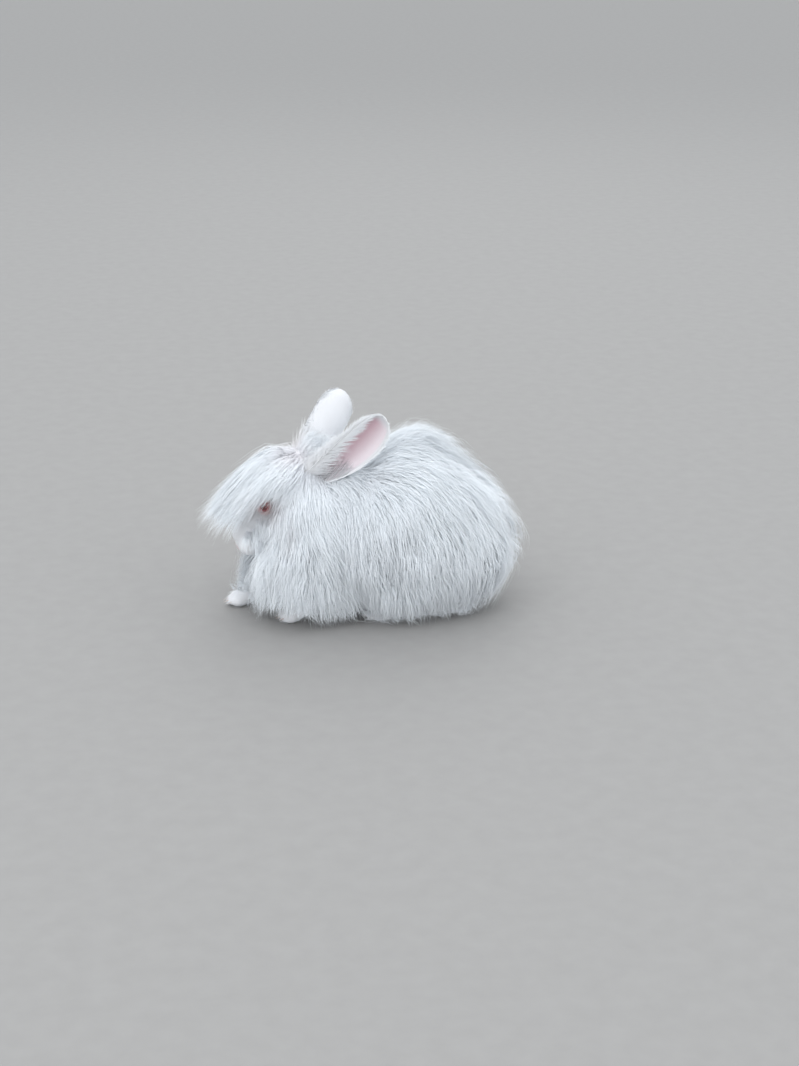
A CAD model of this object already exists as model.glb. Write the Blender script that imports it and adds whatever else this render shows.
"""Angora rabbit: the skin, the wool, the eyes, ears and claws as they look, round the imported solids.

The skin is made of rounded masses melted together. Wool is closed, tapered strands in tufts that
root on the skin, rise to their layer of the coat and follow the lie of the hair.
"""

import math
import random
from itertools import product

import bpy
import numpy as np
from mathutils import Matrix, Vector, noise
from mathutils.bvhtree import BVHTree


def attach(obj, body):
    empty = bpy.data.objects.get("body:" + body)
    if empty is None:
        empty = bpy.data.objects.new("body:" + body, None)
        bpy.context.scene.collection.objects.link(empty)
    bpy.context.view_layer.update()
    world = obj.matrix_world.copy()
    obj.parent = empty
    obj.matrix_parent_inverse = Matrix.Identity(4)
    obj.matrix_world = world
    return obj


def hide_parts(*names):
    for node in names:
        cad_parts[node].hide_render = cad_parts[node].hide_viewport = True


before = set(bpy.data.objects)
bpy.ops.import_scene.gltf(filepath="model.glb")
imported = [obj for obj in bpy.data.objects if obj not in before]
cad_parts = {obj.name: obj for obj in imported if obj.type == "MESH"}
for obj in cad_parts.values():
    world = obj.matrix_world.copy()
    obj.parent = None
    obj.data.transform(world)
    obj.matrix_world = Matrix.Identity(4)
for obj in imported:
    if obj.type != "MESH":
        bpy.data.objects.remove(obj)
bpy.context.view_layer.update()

# Where the masses lie, in metres. All pieces are moved back by ROOM when they are done.
ROOM = 0.0028
NOSE = Vector((-0.117, 0.0, 0.069))
HEAD_PITCH = math.radians(43)
HEAD_AXIS = Vector((math.cos(HEAD_PITCH), 0.0, math.sin(HEAD_PITCH)))
HEAD_UP = Vector((-math.sin(HEAD_PITCH), 0.0, math.cos(HEAD_PITCH)))
SIDE = Vector((0.0, 1.0, 0.0))
SIDES = {"left": -1.0, "right": 1.0}

# Masses of the bare body: centre, radii, depth of the coat over them
BODY_MASSES = {
    "chest": ((-0.028, 0.0, 0.080), (0.056, 0.046, 0.056), 0.030),
    "barrel": ((0.038, 0.0, 0.088), (0.066, 0.058, 0.065), 0.034),
    "rump": ((0.079, 0.0, 0.068), (0.052, 0.050, 0.060), 0.028),
    "neck": ((-0.047, 0.0, 0.112), (0.031, 0.030, 0.036), 0.026),
}
PAIRED_BODY_MASSES = {
    "shoulder": ((-0.046, 0.026, 0.062), (0.032, 0.019, 0.040), 0.022),
    "thigh": ((0.060, 0.031, 0.054), (0.044, 0.020, 0.038), 0.022),
}
# Masses of the head: distance from the nose, height over its line, offset to the side, radii, coat
HEAD_MASSES = {
    "skull": (0.074, 0.002, 0.0, (0.035, 0.025, 0.027), 0.004),
    "brow": (0.050, 0.010, 0.0, (0.034, 0.020, 0.018), 0.004),
    "bridge": (0.032, 0.009, 0.0, (0.030, 0.0115, 0.0120), 0.003),
    "muzzle": (0.027, -0.001, 0.0, (0.029, 0.0150, 0.0165), 0.003),
    "jaw": (0.044, -0.014, 0.0, (0.030, 0.0130, 0.0130), 0.004),
    "chin": (0.019, -0.0135, 0.0, (0.0125, 0.0085, 0.0080), 0.003),
    "crown": (0.096, 0.012, 0.0, (0.022, 0.024, 0.022), 0.024),
}
PAIRED_HEAD_MASSES = {
    "cheek": (0.062, -0.012, 0.012, (0.026, 0.0145, 0.020), 0.005),
    "whisker_pad": (0.0125, -0.0035, 0.0072, (0.0130, 0.0098, 0.0115), 0.002),
    "orbit": (0.052, 0.0165, 0.0120, (0.0130, 0.0085, 0.0115), 0.001),
    "ruff": (0.086, -0.012, 0.014, (0.020, 0.013, 0.020), 0.022),
}
TAIL_LINE = (Vector((0.124, 0, 0.048)), Vector((0.139, 0, 0.052)), Vector((0.144, 0, 0.068)))

# The fall of the head's wool from the parting between the ears, by bearing from straight ahead:
# bearing in degrees, start and end of the outermost line, and how far that line bows out
FALLS = (
    (0, (-0.055, 0.000, 0.194), (-0.160, 0.000, 0.103), 0.006),
    (18, (-0.056, 0.008, 0.191), (-0.151, 0.019, 0.090), 0.008),
    (34, (-0.058, 0.013, 0.182), (-0.135, 0.031, 0.085), 0.009),
    (46, (-0.060, 0.017, 0.172), (-0.112, 0.036, 0.118), 0.009),
    (62, (-0.059, 0.019, 0.167), (-0.093, 0.039, 0.121), 0.009),
    (74, (-0.058, 0.021, 0.164), (-0.076, 0.046, 0.076), 0.008),
    (90, (-0.057, 0.022, 0.160), (-0.060, 0.050, 0.070), 0.006),
)
PARTING = Vector((-0.050, 0.0, 0.165))

EYE_RADIUS = 0.0082
EYE_PLACE = (0.052, 0.0165, 0.0132)
EYE_LOOK = (-0.22, 0.22, 1.0)
LID_RADII = (0.0072, 0.0060)

EAR_ROOT = Vector((-0.056, 0.0150, 0.1385))
EAR_TIPS = {"left": Vector((0.022, -0.036, 0.206)), "right": Vector((-0.010, 0.036, 0.213))}
EAR_MOUTHS = {"left": Vector((-0.15, -0.90, -0.35)), "right": Vector((-0.30, 0.92, 0.05))}
EAR_SAG = 0.005
EAR_HALF_ARC = {"left": 0.0225, "right": 0.0240}
EAR_OPENING = {"left": 30, "right": 42}
EAR_STEPS = 40  # sections of an ear in the table that keeps hair out of it

FORELEG_SHOULDER = {"left": Vector((-0.048, -0.026, 0.050)), "right": Vector((-0.078, 0.022, 0.058))}
FORELEG_WRIST = {"left": Vector((-0.057, -0.029, 0.013)), "right": Vector((-0.103, 0.019, 0.013))}
FORELEG_TOE = {"left": -0.082, "right": -0.130}
HIND_OUT = 0.034
HIND_HEEL, HIND_TOE = 0.094, 0.004
TOES_ACROSS = (-0.0078, -0.0028, 0.0028, 0.0078)
TOE_HEIGHT = 0.0058

BODY_VOXEL = 0.0026
HEAD_VOXEL = 0.0011
COAT_VOXEL = 0.0050
SKIN_GAP = 0.0003  # the skin and claws end this far above the floor, and clear of the eyeballs
FLOOR_GAP = 0.0012  # lowest tip of the wool above the floor
SKIRT = 0.050  # below this height the outside of the coat hangs down
HEM_TUCK = 0.45  # how far it draws in towards the floor there

STAND_OFF = {"leg": 0.012, "cheek": 0.015}  # these kinds keep this far off the skin
EYE_CLEAR = 0.0135  # no long wool grows this near the middle of an eye
FUR_CLEAR = EYE_RADIUS + 0.0022  # and no short fur this near
UNWRAP_FACES = 4000

# Kinds of tuft: how many, length, width of the tuft, strands, width of a strand, waviness,
# how far a strand drifts aside by its tip, rings of a strand
KINDS = {
    "back": (720, 0.064, 0.0130, 15, 0.00040, 0.0014, 0.0050, 5),
    "flank": (860, 0.070, 0.0135, 15, 0.00042, 0.0012, 0.0050, 5),
    "hem": (470, 0.048, 0.0120, 15, 0.00040, 0.0012, 0.0045, 4),
    "bib": (340, 0.054, 0.0110, 15, 0.00040, 0.0012, 0.0045, 4),
    "neck": (320, 0.056, 0.0120, 15, 0.00038, 0.0014, 0.0050, 4),
    "visor": (350, 0.076, 0.0075, 15, 0.00038, 0.0010, 0.0030, 5),
    "forelock": (260, 0.094, 0.0075, 15, 0.00038, 0.0010, 0.0030, 6),
    "crown": (90, 0.028, 0.0060, 12, 0.00036, 0.0012, 0.0030, 4),
    "cheek": (430, 0.023, 0.0048, 14, 0.00034, 0.0008, 0.0020, 4),
    "ruff": (250, 0.058, 0.0100, 15, 0.00040, 0.0012, 0.0040, 4),
    "leg": (190, 0.026, 0.0055, 15, 0.00038, 0.0010, 0.0025, 4),
    "tail": (90, 0.026, 0.0060, 14, 0.00040, 0.0012, 0.0020, 4),
}
COAT_FOLLOW = 0.96  # how far the shading of the wool follows the coat instead of the single strand
COAT_SEED = 5
ROOTS_DRAWN = 60000  # places on the skin, of which each kind of wool keeps as many as it has tufts
EAR_FALLS = 60  # tries at a tuft of the fringe that roots on an ear
LAYERS = (0.30, 1.06)  # least and greatest layer of a tuft: 0 is the skin and 1 the outside of the coat
OUTER_LAYER = 0.35  # what bib and leg have more
STRAY_SHARE = 0.14  # share of the strands whose tips stand out of the coat
STRAY_RISE = 0.009  # by how much, at most
GUIDE_POINTS = 16  # on the line that the strands of a tuft follow
PATCH_LENGTH = 0.003  # length of a strand's patch on the bake map

# The way a kind of wool lies: along the body, outwards and up. Back, flank and neck change with the place
LIES = {
    "cheek": (0.10, 0.25, -1.0),
    "ruff": (0.06, 0.25, -1.0),
    "leg": (-0.15, 0.10, -1.0),
    "crown": (0.80, 0.10, 0.30),
    "bib": (-0.12, 0.15, -1.0),
    "tail": (0.25, 0.25, -1.0),
    "hem": (0.05, 0.05, -1.0),
}

FUR_RINGS = 3
FACE_FUR = (12500, 0.0085, 0.00044)  # short fur of face and feet: strands, length, width
# Parts of an ear's fur and their strands
EAR_FUR = (("back", 3000), ("curtain", 1600), ("crest", 1500), ("rim", 1500), ("root", 900))
EAR_FUR_END = 0.985  # last hair of an ear, where its tip is 1
CURTAIN_CLUSTER = 12  # neighbouring strands of an ear's curtain that bend alike

# Marks on one side: place, reach along each way, strength. Stains are placed from the eye
STAINS = (
    ((0.0, 0.012, 0.0), (0.016, 0.022, 0.011), 0.8),
    ((0.020, 0.022, -0.024), (0.006, 0.022, 0.016), 0.75),
)
BLUSH = ((-0.064, 0.013, 0.168), (0.016, 0.016, 0.016), 0.22)

NEAR_CELLS = list(product((-1, 0, 1), repeat=3))

# The lights: place, size, power. Then the sky, and where the picture is taken from
LIGHTS = {
    "key": ((-1.3, -1.9, 2.3), 3.4, 33),
    "fill": ((1.9, -1.8, 1.3), 3.0, 9),
    "rim": ((0.6, 2.2, 2.2), 1.8, 12),
}
SKY_COLOUR, SKY_STRENGTH = (0.94, 0.97, 1.0, 1), 1.22
VIEW_TARGET = Vector((0.0445 + ROOM, 0.0202, 0.0672))
VIEW_BEARING, VIEW_HEIGHT = math.radians(-8), math.radians(21)
VIEW_DISTANCE, VIEW_LENS, VIEW_SENSOR = 1.85, 62.5, 36.0


# Meshes

def deselect():
    if bpy.context.object and bpy.context.object.mode != "OBJECT":
        bpy.ops.object.mode_set(mode="OBJECT")
    bpy.ops.object.select_all(action="DESELECT")


def select_only(objects):
    deselect()
    for obj in objects:
        obj.select_set(True)
    bpy.context.view_layer.objects.active = objects[0]


def apply_all(obj):
    select_only([obj])
    for modifier in list(obj.modifiers):
        bpy.ops.object.modifier_apply(modifier=modifier.name)


def join(name, objects):
    select_only(objects)
    if len(objects) > 1:
        bpy.ops.object.join()
    obj = bpy.context.object
    obj.name = name
    return obj


def edit_all(tool, **options):
    """Uses one mesh tool on the whole of the active object."""
    bpy.ops.object.mode_set(mode="EDIT")
    bpy.ops.mesh.select_all(action="SELECT")
    tool(**options)
    bpy.ops.object.mode_set(mode="OBJECT")


def turn_to(axis, up):
    """A rotation whose X is axis and whose Z is as near to up as it can be."""
    x = axis.normalized()
    y = up.cross(x).normalized()
    return Matrix((x, y, x.cross(y))).transposed()


def add_ball(name, centre, radii, turn=None, segments=24, rings=16):
    deselect()
    turned = (turn or Matrix.Identity(3)).to_euler()
    bpy.ops.mesh.primitive_uv_sphere_add(segments=segments, ring_count=rings, radius=1.0,
                                         location=centre, rotation=turned, scale=radii)
    ball = bpy.context.object
    ball.name = name
    bpy.ops.object.transform_apply(location=True, rotation=True, scale=True)
    return ball


def add_limb(points, radii, steps=5):
    """Overlapping balls along a bent line, to be melted into a limb."""
    balls = []
    for i in range(len(points) - 1):
        for k in range(steps + (i == len(points) - 2)):
            t = k / steps
            radius = radii[i] * (1 - t) + radii[i + 1] * t
            place = points[i].lerp(points[i + 1], t)
            balls.append(add_ball("limb", place, (radius,) * 3, segments=16, rings=10))
    return balls


def melt(obj, voxel, rounds, factor=0.6):
    even = obj.modifiers.new("even", "REMESH")
    even.mode = "VOXEL"
    even.voxel_size = voxel
    soften = obj.modifiers.new("soften", "SMOOTH")
    soften.factor = factor
    soften.iterations = rounds
    apply_all(obj)


def combine(obj, other, operation):
    """Boolean with another object, which is then removed."""
    change = obj.modifiers.new("change", "BOOLEAN")
    change.operation = operation
    change.solver = "MANIFOLD"
    change.object = other
    apply_all(obj)
    bpy.data.objects.remove(other, do_unlink=True)


def keep_off_floor(obj):
    for vert in obj.data.vertices:
        vert.co.z = max(vert.co.z, SKIN_GAP)
    return obj


def copy_of(obj):
    copy = obj.copy()
    copy.data = obj.data.copy()
    return copy


def head_place(along, over, out=0.0):
    return NOSE + HEAD_AXIS * along + HEAD_UP * over + SIDE * out


def masses():
    """Every mass: name, centre, radii, coat, rotation, on the head or not."""
    found = []
    turn = turn_to(HEAD_AXIS, HEAD_UP)
    middle, both = (1.0,), SIDES.values()
    for table, sides in ((BODY_MASSES, middle), (PAIRED_BODY_MASSES, both)):
        for (name, ((x, y, z), radii, coat)), side in product(table.items(), sides):
            found.append((name, Vector((x, side * y, z)), radii, coat, Matrix.Identity(3), False))
    for table, sides in ((HEAD_MASSES, middle), (PAIRED_HEAD_MASSES, both)):
        for (name, (along, over, out, radii, coat)), side in product(table.items(), sides):
            found.append((name, head_place(along, over, side * out), radii, coat, turn, True))
    return found


MASSES = masses()


def mass_balls(reach, heads=None):
    balls = []
    for name, centre, radii, coat, turn, on_head in MASSES:
        if heads is None or heads == on_head:
            balls.append(add_ball(name, centre, [r + reach * coat for r in radii], turn))
    return balls


def nearest_mass(place):
    best = None
    for name, centre, radii, _, turn, on_head in MASSES:
        local = turn.transposed() @ (place - centre)
        far = math.sqrt(sum((local[k] / radii[k]) ** 2 for k in range(3)))
        if best is None or far < best[0]:
            best = (far, name, on_head)
    return best[1], best[2]


# Skin, ears, eyes, claws

def toe_places(front, outer_back, middle):
    """Middles of a foot's four toes. The outer two sit further back."""
    return [Vector((front + (outer_back if k in (0, 3) else 0.0), middle + across, TOE_HEIGHT))
            for k, across in enumerate(TOES_ACROSS)]


def foreleg_toes(which):
    return toe_places(FORELEG_TOE[which] + 0.0085, 0.0030, FORELEG_WRIST[which].y)


def hind_toes(side):
    return toe_places(HIND_TOE + 0.010, 0.0040, side * HIND_OUT * 1.04)


def foreleg_balls(which):
    shoulder, wrist = FORELEG_SHOULDER[which], FORELEG_WRIST[which]
    elbow = shoulder.lerp(wrist, 0.5) + Vector((0.006, 0, 0))
    balls = add_limb([shoulder, elbow, wrist], [0.0130, 0.0108, 0.0088])
    length = wrist.x - FORELEG_TOE[which]
    palm = Vector((wrist.x - 0.42 * length, wrist.y, 0.0078))
    balls.append(add_ball("palm", palm, (0.5 * length, 0.0100, 0.0082)))
    return balls + [add_ball("toe", place, (0.0085, 0.0036, TOE_HEIGHT)) for place in foreleg_toes(which)]


def hind_leg_balls(side):
    out = side * HIND_OUT
    heel = Vector((HIND_HEEL, out * 0.94, 0.0105))
    foot = [heel, Vector((0.060, out, 0.0092)), Vector((HIND_TOE + 0.012, out * 1.04, 0.0080))]
    balls = add_limb(foot, [0.0098, 0.0088, 0.0080])
    shank = [heel, Vector((0.074, out, 0.030)), Vector((0.046, out, 0.046))]
    balls += add_limb(shank, [0.0085, 0.0115, 0.0135])
    return balls + [add_ball("toe", place, (0.0105, 0.0037, TOE_HEIGHT)) for place in hind_toes(side)]


def eye_frame(side):
    """The middle of an eye and the rotation whose X is the way it looks."""
    along, over, out = EYE_PLACE
    look_along, look_over, look_out = EYE_LOOK
    look = HEAD_AXIS * look_along + HEAD_UP * look_over + SIDE * (side * look_out)
    return head_place(along, over, side * out), turn_to(look, HEAD_UP)


def add_lids(side):
    """A soft ring round the eye, almond shaped, that hugs the eyeball."""
    deselect()
    bpy.ops.mesh.primitive_torus_add(major_segments=40, minor_segments=10,
                                     major_radius=1.0, minor_radius=0.25)
    lids = bpy.context.object
    middle, turn = eye_frame(side)
    for vert in lids.data.vertices:
        angle = math.atan2(vert.co.y, vert.co.x)
        radial = math.hypot(vert.co.x, vert.co.y)
        corner = 1 + 0.14 * math.cos(2 * angle) ** 3
        wide = LID_RADII[0] * math.cos(angle) * corner
        high = LID_RADII[1] * math.sin(angle)
        rim = Vector((0, wide, high))
        thick = (radial - 1) * 0.0052
        lift = vert.co.z * 0.0052
        clear = EYE_RADIUS + 0.0012
        rise = math.sqrt(max(1e-9, clear * clear - rim.length_squared))
        place = Vector((rise + lift, 0, 0)) + rim + rim.normalized() * thick
        vert.co = middle + turn @ place
    return lids


def add_tube(name, points, radius):
    """A round rod through the points, closed at its ends."""
    deselect()
    bpy.ops.curve.primitive_nurbs_path_add()
    rod = bpy.context.object
    rod.name = name
    rod.data.splines.clear()
    line = rod.data.splines.new("POLY")
    line.points.add(len(points) - 1)
    for point, place in zip(line.points, points):
        point.co = (*place, 1.0)
    rod.data.bevel_depth = radius
    rod.data.bevel_resolution = 2
    rod.data.use_fill_caps = True
    bpy.ops.object.convert(target="MESH")
    rod = bpy.context.object
    edit_all(bpy.ops.mesh.remove_doubles, threshold=0.00002)
    edit_all(bpy.ops.mesh.normals_make_consistent, inside=False)
    return rod


def make_skin():
    head = join("skin_head", mass_balls(0.0, heads=True))
    melt(head, HEAD_VOXEL, 7)
    for side in SIDES.values():
        middle, turn = eye_frame(side)
        combine(head, add_ball("socket", middle, (EYE_RADIUS + SKIN_GAP,) * 3, turn, 40, 28), "DIFFERENCE")
    for side in SIDES.values():
        combine(head, add_lids(side), "UNION")
    lip_half, lip_steps = 0.0110, 8
    mouth = []
    for i in range(2 * lip_steps + 1):
        out = lip_half * (i / lip_steps - 1)
        bend = abs(out) / lip_half
        mouth.append(head_place(-0.0030 + 0.018 * bend ** 1.6, -0.0100 - 0.0015 * bend, out))
    combine(head, add_tube("mouth", mouth, 0.0009), "DIFFERENCE")
    cleft = [head_place(-0.0030, -0.0105), head_place(-0.0040, -0.0060), head_place(-0.0036, -0.0015)]
    combine(head, add_tube("cleft", cleft, 0.0007), "DIFFERENCE")
    for side in SIDES.values():
        slit = [head_place(-0.0040, 0.0002, side * 0.0018), head_place(-0.0026, 0.0018, side * 0.0038),
                head_place(0.0006, 0.0024, side * 0.0060)]
        combine(head, add_tube("nostril", slit, 0.0010), "DIFFERENCE")
    body = mass_balls(0.0, heads=False)
    for which in SIDES:
        body += foreleg_balls(which)
    for side in SIDES.values():
        body += hind_leg_balls(side)
    body += add_limb(list(TAIL_LINE), [0.0100, 0.0095, 0.0060], steps=3)
    body = join("skin", body)
    melt(body, BODY_VOXEL, 5)
    combine(body, head, "UNION")
    return keep_off_floor(body)


def ear_root(which):
    return Vector((EAR_ROOT.x, SIDES[which] * EAR_ROOT.y, EAR_ROOT.z))


def ear_section(which, t):
    """One cut across an ear: middle of its back, way of its mouth, way across, radius, half opening."""
    root, tip = ear_root(which), EAR_TIPS[which]
    line = (tip - root).normalized()
    mouth = EAR_MOUTHS[which]
    mouth = (mouth - line * mouth.dot(line)).normalized()
    sag = Vector((0, 0, -1))
    sag = (sag - line * sag.dot(line)).normalized()
    widening = 0.40 + 0.60 * math.sin(0.5 * math.pi * min(1.0, t / 0.55))
    rounding = math.sqrt(max(0.0, 1 - max(0.0, (t - 0.55) / 0.452) ** 3))
    open_angle = math.radians(84 - EAR_OPENING[which] * t)
    radius = EAR_HALF_ARC[which] * widening * rounding / open_angle
    back = root.lerp(tip, t) + sag * (4 * EAR_SAG * t * (1 - t)) - mouth * (0.3 * radius)
    return back, mouth, line.cross(mouth), radius, open_angle


def ear_point(which, t, share, inset=0.0):
    """A point of the ear's sheet: t from root to tip, share -1 to 1 from rim to rim."""
    back, mouth, across, radius, open_angle = ear_section(which, t)
    angle = open_angle * share
    away = across * math.sin(angle) - mouth * math.cos(angle)
    return back + mouth * radius + away * (radius - inset)


def ear_table(which):
    """Backs, mouths, radii and half openings of an ear's sections, root to tip."""
    rows = [ear_section(which, k / EAR_STEPS) for k in range(EAR_STEPS + 1)]
    backs, mouths = [np.array([tuple(row[k]) for row in rows]) for k in (0, 1)]
    return backs, mouths, np.array([row[3] for row in rows]), np.array([row[4] for row in rows])


EAR_TABLES = {which: ear_table(which) for which in SIDES}


def in_ears(points, margin=0.0016):
    """True for each point that lies in an ear, its cup or just before its mouth."""
    inside = np.zeros(points.shape[:-1], bool)
    for which in SIDES:
        backs, mouths, radii, opens = EAR_TABLES[which]
        root = np.array(ear_root(which))
        line = np.array(EAR_TIPS[which]) - root
        t = (points - root) @ line / (line @ line)
        row = np.clip(np.round(t * EAR_STEPS).astype(int), 0, EAR_STEPS)
        back, mouth, radius = backs[row], mouths[row], radii[row]
        off = points - back - mouth * radius[..., None]
        line = line / np.linalg.norm(line)
        off = off - (off @ line)[..., None] * line
        deep = ((points - back) * mouth).sum(-1)
        front = radius * (1 - np.cos(opens[row])) + np.where(t > 0.22, 0.010, 0.0)
        near_line = np.linalg.norm(off, axis=-1) < radius + margin
        inside |= (t > 0.13) & (t < 1.02) & near_line & (deep < front)
    return inside


def add_marks(obj):
    """Room for how bare the skin is, how far inside an ear's cup, and how near its upper rim."""
    for label in ("bare", "cup", "reach"):
        obj.data.attributes.new(label, "FLOAT", "POINT")


def make_ear(which):
    """A leaf-shaped sheet with a thick middle and a thin rim, cupped round its line."""
    deselect()
    bpy.ops.mesh.primitive_grid_add(x_subdivisions=28, y_subdivisions=56, size=2.0)
    ear = bpy.context.object
    ear.name = f"ear_{which}_shell"
    thick = ear.vertex_groups.new(name="thick")
    for vert in ear.data.vertices:
        share, t = vert.co.x, 0.5 + 0.5 * vert.co.y
        t = -0.10 + 1.098 * t  # the first tenth runs down into the head
        thick.add([vert.index], max(0.15, (1 - abs(share) ** 4) * (1 - 0.5 * max(0, t))), "REPLACE")
        place = ear_point(which, max(0.0, t), share)
        if t < 0:
            middle = ear_point(which, 0.0, 0.0, EAR_HALF_ARC[which] * 0.27)
            place = middle + (place - middle) * (1 + 4 * t) + (head_place(0.080, 0.0) - middle) * (-4 * t)
        ripple = 0.0004 * math.sin(9 * t + 3 * share) * abs(share) ** 3
        vert.co = place + Vector((0, 0, ripple))
    wall = ear.modifiers.new("wall", "SOLIDIFY")
    wall.thickness = 0.0019
    wall.offset = -1.0
    wall.vertex_group = "thick"
    wall.thickness_vertex_group = 0.3
    apply_all(ear)
    edit_all(bpy.ops.mesh.normals_make_consistent, inside=False)
    add_marks(ear)
    inner, depth = ear.data.attributes["cup"], ear.data.attributes["reach"]
    root, tip = ear_root(which), EAR_TIPS[which]
    line = tip - root
    for vert in ear.data.vertices:
        t = (vert.co - root).dot(line) / line.length_squared
        back, mouth, across, radius, open_angle = ear_section(which, min(0.999, max(0.0, t)))
        off = vert.co - back - mouth * radius
        share = math.atan2(off.dot(across), -off.dot(mouth)) / open_angle
        facing = vert.normal.dot(-(off - line * (off.dot(line) / line.length_squared)).normalized())
        upper = share if across.z > 0 else -share
        bare = step_between(-0.97, -0.80, upper) * (1 - step_between(0.25, 0.70, upper))
        short_of_tip = 1 - step_between(0.90, 0.98, t)
        inner.data[vert.index].value = bare * step_between(0.0, 0.4, facing) * short_of_tip
        depth.data[vert.index].value = 0.5 + 0.5 * upper
    return ear


def make_eye(which):
    middle, turn = eye_frame(SIDES[which])
    eye = add_ball(f"eyeball_{which}", Vector((0, 0, 0)), (EYE_RADIUS,) * 3, None, 56, 40)
    gaze = eye.data.attributes.new("gaze", "FLOAT", "POINT")
    for vert in eye.data.vertices:
        off_axis = vert.co.angle(Vector((1, 0, 0)))
        bulge = 0.0009 * math.exp(-(off_axis / 0.62) ** 4)
        gaze.data[vert.index].value = off_axis / math.pi
        vert.co = vert.co * (1 + bulge / EYE_RADIUS)
        vert.co = middle + turn @ vert.co
    return eye


def make_claws():
    """Curved, pointed claws, four on each foot."""
    claws = []
    toes = [(place, 0.0082) for which in SIDES for place in foreleg_toes(which)]
    toes += [(place, 0.0102) for side in SIDES.values() for place in hind_toes(side)]
    for middle, forward in toes:
        deselect()
        bpy.ops.mesh.primitive_cone_add(vertices=10, radius1=1.0, radius2=0.12, depth=1.0)
        claw = bpy.context.object
        edit_all(bpy.ops.mesh.subdivide, number_cuts=3)
        for vert in claw.data.vertices:
            t = vert.co.z + 0.5
            narrow = 0.0011 * (1 - 0.5 * t)
            place = Vector((-0.0078 * t, 0.75 * narrow * vert.co.y, narrow * vert.co.x - 0.0024 * t * t))
            vert.co = middle + Vector((-(forward - 0.0042), 0, 0.0006)) + place
        claws.append(claw)
    return keep_off_floor(join("claws", claws))


# Outside of the coat, and the lie of the hair

def tree_of(objects):
    points, faces = [], []
    for obj in objects:
        first = len(points)
        points += [v.co.copy() for v in obj.data.vertices]
        faces += [[first + k for k in p.vertices] for p in obj.data.polygons]
    return BVHTree.FromPolygons(points, faces)


def outside_of_coat():
    """The surface that the tips of the topmost wool reach."""
    balls = mass_balls(1.0)
    balls.append(add_ball("tail_coat", Vector((0.148, 0, 0.062)), (0.020, 0.022, 0.028)))
    coat = join("outside", balls)
    melt(coat, COAT_VOXEL, 8)
    tree = tree_of([coat])
    bpy.data.objects.remove(coat, do_unlink=True)
    return tree


def step_between(low, high, value):
    t = min(1.0, max(0.0, (value - low) / (high - low)))
    return t * t * (3 - 2 * t)


def lie(kind, place):
    """The way the wool of a kind lies at a place."""
    side = max(-1.0, min(1.0, place.y / 0.030))
    if kind in LIES:
        along, out, up = LIES[kind]
        return Vector((along, out * side, up)).normalized()
    top = step_between(0.115, 0.165, place.z) * (1 - 0.6 * step_between(0.090, 0.140, place.x))
    return Vector((0.20, 0.10 * side, -1.0)).lerp(Vector((1.0, 0.45 * side, -0.22)), top).normalized()


def side_of(place):
    return 1.0 if place.y > 0 else -1.0


def eye_distance(place):
    return (place - eye_frame(side_of(place))[0]).length


def kind_at(place, normal):
    """Which kind of wool grows at a place of the skin, or none."""
    name, on_head = nearest_mass(place)
    offset = place - NOSE
    along, over = offset.dot(HEAD_AXIS), offset.dot(HEAD_UP)
    if on_head:
        if name == "bridge" or along < 0.020:
            return None
        if along < 0.040:
            return "cheek" if over < 0.008 and abs(place.y) > 0.007 else None
        if name == "orbit" or eye_distance(place) < EYE_CLEAR:
            return None
        if name == "ruff" or (over < 0.012 and along > 0.070):
            return "ruff"
        if over < 0.004:
            return "cheek"
        if along > 0.108:
            return "crown"
        if along > 0.092:
            return "forelock"
        return "visor" if over > 0.014 else "cheek"
    if place.x < -0.074 and 0.015 < place.z < 0.062:
        return "leg"
    if place.x > -0.035 and 0.006 < place.z < 0.030 and normal.z > -0.45:
        return "hem"
    if place.z < 0.030 and name not in ("barrel", "rump", "chest"):
        return None
    if normal.z < -0.75 or place.z < 0.018:
        return None
    if place.x > 0.122 and abs(place.y) < 0.014:
        return "tail"
    if name == "neck" or (name == "chest" and place.z > 0.112 and place.x < -0.030):
        return "neck"
    if place.x < -0.050 and normal.x < -0.15:
        return "bib"
    if place.z < 0.060:
        return "hem"
    return "back" if place.z > 0.128 else "flank"


def near_outside(place, outside):
    """Nearest point of the outside and its normal. Low down the outside hangs straight."""
    if place.z >= SKIRT:
        near, out, _, _ = outside.find_nearest(place)
        return near, out
    near, out, _, _ = outside.find_nearest(Vector((place.x, place.y, SKIRT)))
    flat = Vector((out.x, out.y, 0.0))
    if flat.length < 0.2:
        flat = Vector((place.x - 0.03, place.y, 0.0))
    flat.normalize()
    inward = HEM_TUCK * (SKIRT - place.z) * step_between(-0.070, -0.010, place.x)
    return Vector((near.x, near.y, place.z)) - flat * inward, flat


def floor_under(place):
    """How high above the floor wool ends at a place."""
    behind = 0.0015 * step_between(0.100, 0.130, place.x)
    over_paw = step_between(-0.105, -0.088, place.x) * (1 - step_between(-0.052, -0.036, place.x))
    return FLOOR_GAP + behind + 0.011 * over_paw


def fall_line(bearing, side):
    """Start, end and bow of the outermost line of wool that falls to one bearing."""
    for low, high in zip(FALLS, FALLS[1:]):
        if bearing <= high[0]:
            break
    part = min(1.0, max(0.0, (bearing - low[0]) / (high[0] - low[0])))
    start = Vector(low[1]).lerp(Vector(high[1]), part)
    end = Vector(low[2]).lerp(Vector(high[2]), part)
    start.y *= side
    end.y *= side
    return start, end, low[3] + (high[3] - low[3]) * part


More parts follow.
